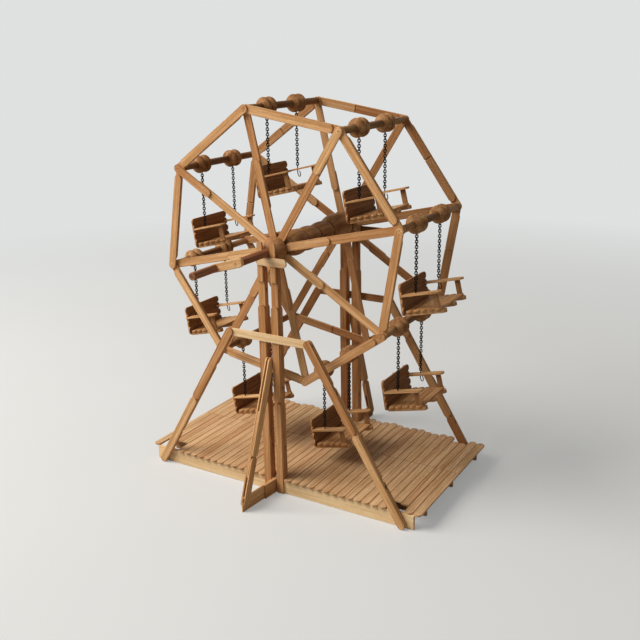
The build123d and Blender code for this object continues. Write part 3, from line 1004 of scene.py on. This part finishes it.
@dataclass
class Stand:
    """Base, deck, towers, legs and outriggers."""

    finishes: FinishKit
    stock: Stock = field(default_factory=Stock)
    hub: float = 288.0
    rail_height: float = 17.4
    rail_thickness: float = 4.0
    rail_face: float = 95.0
    rail_half: float = 178.5
    inner_rails: Pair = (-62.0, 13.0)
    keel_half: float = 87.0
    post_offset: float = 8.5
    post_face: float = 87.0
    post_top: float = 272.0
    post_shoulder: float = 228.6
    peg_width: float = 7.5
    peg_offset: float = 8.35
    peg_ends: Pair = (-17.0, 12.0)
    rest_drop: float = 4.55
    rest_ends: dict[Side, Pair] = field(
        default_factory=lambda: {Side.FRONT: (-11.0, 27.0), Side.BACK: (-13.0, 52.0)}
    )
    crossbar_z: float = 191.5
    crossbar_half: float = 53.0
    leg_spread: float = 31.31
    leg_step: float = 8.0
    rows: int = 17
    deck_first: float = 18.2
    deck_last: float = 181.25
    deck_seam: float = 15.3
    deck_back: float = 104.0
    end_rows: Pair = (-95.0, 103.5)
    cut_rows: tuple[int, int] = (13, 14)
    cut_back: float = 92.5
    notches: dict[Hand, dict[int, float]] = field(
        default_factory=lambda: {
            Hand.LEFT: {13: -74.0, 14: -74.0, 15: -76.0},
            Hand.RIGHT: {13: -77.0, 14: -80.0},
        }
    )
    brown_row: tuple[Hand, int] = (Hand.RIGHT, 14)
    dark_planks: float = 0.12
    plank_width: float = 9.9
    middle_planks: tuple[float, ...] = (-8.83, 0.0, 8.83)
    middle_width: float = 8.6
    middle_half: float = 86.5
    skew: dict[Side, float] = field(default_factory=lambda: {Side.FRONT: 5.0, Side.BACK: 0.0})
    outrigger_face: float = 92.0
    brace_slope: float = 18.7
    brace_top: float = 168.0
    brace_out: float = 3.2
    brace_filler: Pair = (60.0, 140.0)
    foot_start: float = -4.5
    foot_ends: Pair = (62.0, 24.0)

    def put(self, pile: Pile, node: str, finish: Finish = Finish.STICK) -> None:
        """Close a pile that stands for one node of the stand."""
        pile.close(f"stand_{node}", self.finishes, finish, "stand", node)

    def edge_strip(self, pile: Pile, bench: Bench, ends: Pair, thickness: float) -> None:
        """Lay a square-cut strip of rail height on edge.

        Args:
            pile: Where it goes.
            bench: Its run is the strip's lower edge.
            ends: First and last end along the run.
            thickness: Thickness of the strip.
        """
        rise = math.copysign(self.rail_height / 2, bench.across.z)
        raised = Bench(bench.point(0, rise, 0), bench.run, bench.normal)
        pile.stick(raised, *ends, width=self.rail_height, thickness=thickness, square=(True, True))

    def build_rails(self) -> None:
        """Build the rails on edge and the keel."""
        gap, thick = self.post_offset - self.stock.end, self.rail_thickness
        rails = (
            ("rail_front", -self.rail_face, gap, Finish.PALE),
            ("rail_back", self.rail_face - thick, gap, Finish.STICK),
            ("rail_inner", self.inner_rails[0], 2.0, Finish.STICK),
            ("rail_middle", self.inner_rails[1], 2.0, Finish.STICK),
        )
        for number, (node, y, inner, finish) in enumerate(rails):
            pile = Pile(61 + number, arris=0.4)
            bench = Bench(AXIS_Y * (y + thick), AXIS_X, -AXIS_Y)
            for ends in ((-self.rail_half, -inner), (inner, self.rail_half)):
                self.edge_strip(pile, bench, ends, thick)
            self.put(pile, node, finish)
        keel = Pile(66)
        bench = Bench(AXIS_X * (-thick / 2), AXIS_Y, AXIS_X)
        self.edge_strip(keel, bench, (-self.keel_half, self.keel_half), thick)
        self.put(keel, "keel")

    def plank_row(
        self, pile: Pile, x: float, ends: Pair, width: float, cut: bool, brown: bool = False
    ) -> None:
        """Lay the front and back plank of one row of the deck, of nearly equal shades.

        Args:
            pile: Where the planks go.
            x: Middle of the row.
            ends: Front and back end of the row.
            width: Width of the planks.
            cut: Whether its front end is cut square.
            brown: Whether its planks are darker than their neighbours.
        """
        bench = Bench(Vector((x, 0, self.rail_height)), AXIS_Y, AXIS_Z)
        seam = self.deck_seam
        for start, end, square in ((ends[0], seam, (cut, True)), (seam, ends[1], (True, False))):
            darker = pile.random.random() < self.dark_planks or brown
            shade = pile.random.uniform(0.42, 0.72) - (0.5 if darker else 0.0)
            pile.stick(bench, start, end, width=width, square=square, tone=shade)

    def build_deck(self) -> None:
        """Build the planked deck with its short rows by the legs and posts."""
        pile = Pile(71, arris=0.22)
        pitch = (self.deck_last - self.deck_first) / (self.rows - 1)
        for hand in Hand:
            notches = self.notches[hand]
            for row in range(self.rows):
                x = hand.value * (self.deck_first + pitch * row)
                front = self.deck_seam - self.stock.length
                back = self.deck_back + 2.4 * math.sin(hand.value + 1.7 * row)
                if row >= self.rows - 2:
                    front, back = self.end_rows
                if row in self.cut_rows:
                    back = self.cut_back
                ends, brown = (notches.get(row, front), back), (hand, row) == self.brown_row
                self.plank_row(pile, x, ends, self.plank_width, row in notches, brown)
        for x in self.middle_planks:
            ends = (-self.middle_half, self.middle_half)
            self.plank_row(pile, x, ends, self.middle_width, cut=True)
        self.put(pile, "deck", Finish.DECK)

    @property
    def post_layers(self) -> tuple[tuple[float, float, float], ...]:
        """Layers of a post, from inside out, with staggered seams.

        Returns:
            Bottom, length of the first stick and top of each layer.
        """
        full, half, rail = self.stock.length, self.stock.half, self.rail_height
        low, high = self.post_shoulder, self.post_top
        short, inner = (0.0, full, low), (0.0, half, high)
        return short, inner, (rail, full, high), (rail, half, high), short

    def build_posts(self, side: Side) -> None:
        """Build the two posts of one tower.

        Args:
            side: Front or back.
        """
        for hand in Hand:
            pile = Pile(81 + side.value * 2 + hand.value)
            for layer, (bottom, first, top) in enumerate(self.post_layers):
                depth = self.post_face + layer * self.stock.thickness
                bench = facing(side, depth, hand.value * self.post_offset, 0, (0, 1))
                for start, end in self.stock.course(bottom, first, top):
                    shade = pile.random.uniform(0.0, 0.4)
                    pile.stick(bench, start, end, square=(start == bottom, False), tone=shade)
            self.put(pile, f"post_{side.word}_{hand.word}")

    def build_towers(self) -> None:
        """Build the posts, the forks, the axle rests and the crossbars."""
        stock = self.stock
        outer = self.post_face + len(self.post_layers) * stock.thickness
        for side in Side:
            in_front = side is Side.FRONT
            self.build_posts(side)
            pegs = Pile(91 + side.value)
            bottom, top = self.post_top + self.peg_ends[0], self.hub + self.peg_ends[1]
            for hand in Hand:
                x = hand.value * self.peg_offset
                bench = facing(side, outer - stock.thickness, x, 0, (0, 1))
                pegs.stick(bench, bottom, top, width=self.peg_width, square=(True, False))
            self.put(pegs, f"pegs_{side.word}")
            rest = Pile(94 + side.value)
            bench = facing(side, outer, 0, self.hub - self.rest_drop - stock.end, (1, 0))
            rest.stick(bench, *self.rest_ends[side], square=(in_front, False), tone=0.0)
            # painted shade: the back axle rest, in shade behind the tower, takes the dark walnut finish
            # while the front rest is pale
            self.put(rest, f"axle_rest_{side.word}", Finish.PALE if in_front else Finish.TURNED)
            bar = Pile(97 + side.value)
            bench = facing(side, outer, 0, self.crossbar_z, (1, 0))
            bar.stick(bench, -self.crossbar_half, self.crossbar_half)
            self.put(bar, f"crossbar_{side.word}", Finish.PALE if in_front else Finish.STICK)

    def build_legs(self) -> None:
        """Build the four sloping legs."""
        stock, top_z = self.stock, self.crossbar_z + 0.5
        spread = math.radians(self.leg_spread)
        foot = (top_z - stock.end) / math.cos(spread) + stock.end
        top = -stock.end
        layers = ((top, stock.half), (top + self.leg_step, stock.half), (top, stock.length))
        for side in Side:
            for hand in Hand:
                pile = Pile(101 + side.value * 2 + hand.value)
                run = (hand.value * math.sin(spread), -math.cos(spread))
                for layer, (head, first) in enumerate(layers):
                    depth = self.rail_face + layer * stock.thickness
                    bench = facing(side, depth, hand.value * (self.crossbar_half - 1.0), top_z, run)
                    for start, end in stock.course(head, first, foot):
                        pile.stick(bench, start, end)
                self.put(pile, f"leg_{side.word}_{hand.word}")

    def outrigger_bench(self, side: Side, along: float, z: float, run: Pair, offset: float) -> Bench:
        """Bench in the upright plane of an outrigger.

        Args:
            side: Front or back.
            along: Distance outward from the tower.
            z: Height of the origin.
            run: Direction, outward and up.
            offset: Sideways shift.

        Returns:
            The bench.
        """
        skew = math.radians(self.skew[side])
        out = Vector((-math.sin(skew), side.value * math.cos(skew), 0))
        sideways = AXIS_Z.cross(out)
        origin = Vector((0, side.value * self.outrigger_face, z)) + out * along + sideways * offset
        return Bench(origin, out * run[0] + AXIS_Z * run[1], sideways)

    def build_outriggers(self) -> None:
        """Build the feet and the forked braces that steady the towers."""
        full, half, thick = self.stock.length, self.stock.half, self.stock.thickness
        slope = math.radians(self.brace_slope)
        run = (math.sin(slope), -math.cos(slope))
        for side in Side:
            foot = Pile(111 + side.value)
            for offset, end in zip((-thick / 2, thick / 2), self.foot_ends):
                bench = self.outrigger_bench(side, 0, 0, (1, 0), offset)
                self.edge_strip(foot, bench, (self.foot_start, end), thick)
            self.put(foot, f"foot_{side.word}")
            brace = Pile(114 + side.value)
            top = (side, self.brace_out, self.brace_top, run)
            for offset in (-1.5 * thick, 0.5 * thick):
                bench = self.outrigger_bench(*top, offset)
                brace.stick(bench, 0, full, tone=0.9)
                brace.stick(bench, full, full + half, tone=0.6)
            brace.stick(self.outrigger_bench(*top, -thick / 2), *self.brace_filler)
            self.put(brace, f"brace_{side.word}")

    def build(self) -> None:
        """Build every piece that stays still."""
        self.build_rails()
        self.build_deck()
        self.build_towers()
        self.build_legs()
        self.build_outriggers()


@dataclass
class Seat:
    """One hanging bench with its two chains."""

    finishes: FinishKit
    wheel: Wheel
    index: int
    tilt: float = 13.5
    hang: Pair = (-11.0, -96.5)
    slats: int = 5
    back_slats: int = 4
    slat_size: float = 8.5
    slat_half: float = 34.0
    first_slat: float = 4.1
    first_back_slat: float = 0.4
    bearer_offset: float = 27.0
    bearer_start: float = -1.5
    upright_ends: Pair = (-6.2, 29.8)
    panel_lean: float = 4.5
    depth: float = 46.0
    arm_height: float = 16.2
    arm_post: float = 38.0
    arm_post_width: float = 6.0
    shade_range: float = 0.12
    link_length: float = 5.1
    link_width: float = 3.8
    wire: float = 0.56
    link_turn: float = 59.0
    link_drift: float = 9.0
    ring_radius: float = 6.4
    ring_wire: float = 0.55
    hook: tuple[Pair, ...] = (
        (0.0, 2.2), (0.0, -1.0), (-0.2, -3.6), (0.5, -7.2), (1.7, -9.4),
        (3.0, -9.6), (3.9, -8.0), (3.5, -5.2), (2.6, -2.9),
    )

    def __post_init__(self) -> None:
        """Work out the seat's own directions."""
        tilt = math.radians(self.tilt)
        self.along = Vector((math.cos(tilt), 0, math.sin(tilt)))
        self.up = Vector((-math.sin(tilt), 0, math.cos(tilt)))
        x, z = self.wheel.corner(self.index)
        self.pivot = Vector((x, self.wheel.hanger_middle, z))

    def put(self, pile: Pile, word: str, kind: str, finish: Finish) -> None:
        """Close a pile that stands for one node of the seat."""
        node, body = f"{kind}_{self.index + 1}", f"seat_{self.index + 1}"
        pile.close(f"{word}_{node}", self.finishes, finish, body, node)

    def place(self, forward: float, y: float, upward: float) -> Vector:
        """World point of a place in the tilted seat."""
        corner = self.pivot + Vector((self.hang[0], y, self.hang[1]))
        return corner + self.along * forward + self.up * upward

    def lay(self, pile: Pile, bench: Bench, ends: Pair, shade: float, **cut: object) -> None:
        """Lay one piece of the bench.

        Args:
            pile: Where it goes.
            bench: Where its lower face lies.
            ends: First and last end along the run.
            shade: Middle of the shades that it may have; the back slats and uprights get a darker one
                as painted shade.
            cut: Width, thickness and square ends, as a stick takes them.
        """
        tone = shade + pile.random.uniform(-self.shade_range, self.shade_range)
        pile.stick(bench, *ends, tone=tone, **cut)

    def build_bench(self) -> None:
        """Build slats, bearers, back, arms and arm posts; the back and its uprights are toned darker as
        painted shade.
        """
        pile = Pile(201 + self.index, arris=0.22, arc_steps=7, slim=0.0)
        cross, up, along = AXIS_Y, self.up, self.along
        across, wide = (-self.slat_half, self.slat_half), {"width": self.slat_size}
        for number in range(self.slats):
            middle = self.first_slat + self.slat_size * number
            self.lay(pile, Bench(self.place(middle, 0, -2.0), cross, up), across, 0.55, **wide)
        lean = math.radians(self.panel_lean)
        rise = up * math.cos(lean) + along * math.sin(lean)
        rear = up * math.sin(lean) - along * math.cos(lean)
        start = self.bearer_start
        for number in range(self.back_slats):
            height = self.first_back_slat + self.slat_size * number
            bench = Bench(self.place(start, 0, 0) + rise * height, cross, rear)
            # painted shade: the back slats get a darker tone, as the shadow side of the bench
            self.lay(pile, bench, across, 0.32, **wide)
        bearer = {"thickness": 4.0, "square": (True, False), **wide}
        for y in (-self.bearer_offset, 0, self.bearer_offset):
            bench = Bench(self.place(0, y, -6.0), along, up)
            self.lay(pile, bench, (start, self.depth), 0.45, **bearer)
            bench = Bench(self.place(start, y, 0) + rear * 2.0, rise, rear)
            # painted shade: the uprights get a darker tone, as the shadow side of the bench
            self.lay(pile, bench, self.upright_ends, 0.35, **wide)
        post = {"width": self.arm_post_width, "square": (True, True)}
        for sign in (-1, 1):
            y = sign * self.wheel.hanger_offset
            bench = Bench(self.place(0, y, self.arm_height), along, up)
            self.lay(pile, bench, (0, self.depth), 0.85, square=(True, False))
            bench = Bench(self.place(self.arm_post, y - 1.0, 0), up, cross)
            self.lay(pile, bench, (0, self.arm_height), 0.6, **post)
        self.put(pile, "slatted", "bench", Finish.SEAT)

    def bend_wire(self, pile: Pile, path: Sequence[Vector], radius: float, closed: bool = True) -> None:
        """Sweep a round wire along a path.

        Args:
            pile: Where it goes.
            path: Points of its middle line, in millimetres.
            radius: Radius of the wire.
            closed: Whether its ends meet.
        """
        rings = []
        count, facets = len(path), 6
        for number, point in enumerate(path):
            before = path[(number - 1) % count] if closed else path[max(number - 1, 0)]
            after = path[(number + 1) % count] if closed else path[min(number + 1, count - 1)]
            ahead = (after - before).normalized()
            side = ahead.cross(Vector((0.3, 0.5, 0.81))).normalized()
            other = ahead.cross(side)
            ring = []
            for step in range(facets):
                angle = math.tau * step / facets
                world = point + (side * math.cos(angle) + other * math.sin(angle)) * radius
                ring.append((world, world))
            rings.append(pile.ring(ring, 0.5, 0.0))
        pile.skin(rings, closed=closed)

    def link_path(self, centre: Vector, sideways: Vector) -> list[Vector]:
        """Points round one oval link.

        Args:
            centre: Middle of the link.
            sideways: Direction of its width.

        Returns:
            The points of the wire's middle line.
        """
        bend = self.link_width / 2 - self.wire
        straight = self.link_length / 2 - self.wire - bend
        points = []
        for sign in (1, -1):
            for step in range(7):
                angle = math.pi * step / 6
                rise = AXIS_Z * (sign * (straight + bend * math.sin(angle)))
                points.append(centre + sideways * (sign * bend * math.cos(angle)) + rise)
        return points

    def build_chains(self) -> None:
        """Build both chains from real links, each with a ring above; the far one has a hook."""
        pile = Pile(301 + self.index)
        tilt, length, wire = math.radians(self.tilt), self.link_length, self.wire
        top = self.arm_height + self.wheel.stock.thickness
        forward = (top * math.sin(tilt) - self.hang[0]) / math.cos(tilt)
        drop = -self.hang[1] - forward * math.sin(tilt) - top * math.cos(tilt)
        start, end = self.ring_radius + length / 2 - 2 * wire, drop - length / 2 + 0.3
        count = round((end - start) / (length - 4 * wire))
        pitch = (end - start) / count
        turns = [math.tau * step / 28 for step in range(28)]
        for sign in (-1, 1):
            hang = self.pivot + AXIS_Y * (sign * self.wheel.hanger_offset)
            circle = [Vector((math.cos(turn), 0, math.sin(turn))) for turn in turns]
            ring = [hang + point * self.ring_radius for point in circle]
            self.bend_wire(pile, ring, self.ring_wire)
            for number in range(count + 1):
                drift = self.link_drift * math.sin(number * 0.7 + sign + self.index)
                turn = math.radians(self.link_turn + 90 * (number % 2) + drift)
                sideways = Vector((math.sin(turn), math.cos(turn), 0))
                centre = hang - AXIS_Z * (start + pitch * number)
                self.bend_wire(pile, self.link_path(centre, sideways), wire)
            if sign > 0:
                bends = [hang + Vector((across, 0.0, up - drop)) for across, up in self.hook]
                self.bend_wire(pile, bends, wire, closed=False)
        self.put(pile, "linked", "chains", Finish.CHAIN)

    def build(self) -> None:
        """Build the bench and its chains."""
        self.build_bench()
        self.build_chains()


@dataclass
class Studio:
    """Floor, lamps, sky and camera."""

    place: tuple[float, float, float] = (0.5090, -0.8331, 0.4958)
    back: tuple[float, float, float] = (0.4907, -0.8168, 0.3035)
    roll: float = -0.988
    lens: float = 47.78
    pale: Colour = (0.74, 0.755, 0.75)
    sky_colour: Colour = (1.0, 0.96, 0.9)
    sky_strength: float = 0.19
    floor_radius: float = 9.0
    aim: float = 0.2

    def build_floor(self) -> None:
        """Lay a wide pale floor."""
        pile = bmesh.new()
        bmesh.ops.create_circle(pile, cap_ends=True, segments=96, radius=self.floor_radius)
        data = bpy.data.meshes.new("floor")
        pile.to_mesh(data)
        pile.free()
        data.materials.append(FloorFinish().make())
        show("floor", data)

    def hang_lamp(self, name: str, spot: Colour, size: float, power: float, colour: Colour) -> None:
        """Hang one soft lamp that looks at the toy.

        Args:
            name: Name of the lamp.
            spot: Where it hangs, in metres.
            size: Side of its square, in metres.
            power: Watts.
            colour: Colour of the light.
        """
        data = bpy.data.lights.new(name, "AREA")
        data.size, data.energy, data.color = size, power, colour
        lamp = show(name, data)
        lamp.location = spot
        way = AXIS_Z * self.aim - Vector(spot)
        lamp.rotation_euler = way.to_track_quat("-Z", "Y").to_euler()

    def build_sky(self) -> None:
        """Set a soft even sky that shows pale to the camera and in reflections."""
        world = bpy.data.worlds.new("studio_sky")
        bpy.context.scene.world = world
        world.use_nodes = True
        nodes, sheet = world.node_tree.nodes, NodeSheet(world)
        light = nodes["Background"]
        light.inputs["Color"].default_value = (*self.sky_colour, 1.0)
        light.inputs["Strength"].default_value = self.sky_strength
        shown = sheet.add("Background", Color=(*self.pale, 1.0))
        rays = sheet.add("LightPath").outputs
        seen = rays["Is Camera Ray"]
        for word in ("Is Glossy Ray", "Is Transmission Ray"):
            seen = sheet.math("MAXIMUM", seen, rays[word])
        sky = sheet.either(seen, light.outputs["Background"], shown.outputs["Background"])
        sheet.link(sky, nodes["World Output"].inputs["Surface"])

    def build_camera(self) -> None:
        """Put the camera where the photograph was taken from."""
        data = bpy.data.cameras.new("photo_camera")
        data.lens, data.sensor_width, data.sensor_fit = self.lens, 36.0, "HORIZONTAL"
        data.clip_start, data.clip_end = 0.05, 60.0
        camera = show("photo_camera", data)
        back = Vector(self.back).normalized()
        right = (-back).cross(AXIS_Z).normalized()
        up = right.cross(-back)
        cosine, sine = math.cos(math.radians(self.roll)), math.sin(math.radians(self.roll))
        turn = Matrix((right * cosine + up * sine, up * cosine - right * sine, back)).transposed()
        camera.matrix_world = Matrix.Translation(Vector(self.place)) @ turn.to_4x4()
        bpy.context.scene.camera = camera

    def build(self) -> None:
        """Set up the whole studio."""
        bpy.context.scene.view_settings.view_transform = "Standard"
        self.build_floor()
        self.build_sky()
        self.hang_lamp("window", (-1.45, -1.15, 1.85), 1.7, 86.0, (1.0, 0.97, 0.92))
        self.hang_lamp("fill", (1.9, -1.2, 0.9), 1.6, 1.0, (1.0, 0.97, 0.93))
        self.build_camera()


def corners(box: Iterable[Sequence[float]]) -> list[list[float]]:
    """Box corners as plain lists of numbers."""
    return [[float(value) for value in corner] for corner in box]


def run_step(name: str, step: Callable[[], None]) -> None:
    """Run one sub-assembly's build and report it."""
    step()
    LOG.info("%s is in place", name)


def main() -> None:
    """Build the dressed toy in order."""
    logging.basicConfig(level=logging.INFO, format="%(name)s: %(message)s")
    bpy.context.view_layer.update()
    finishes = FinishKit()
    run_step("studio", Studio().build)
    run_step("stand", Stand(finishes).build)
    wheel = Wheel(finishes)
    run_step("wheel", wheel.build)
    for index in range(wheel.corners):
        run_step(f"seat {index + 1}", Seat(finishes, wheel, index).build)


if __name__ == "__main__":
    main()
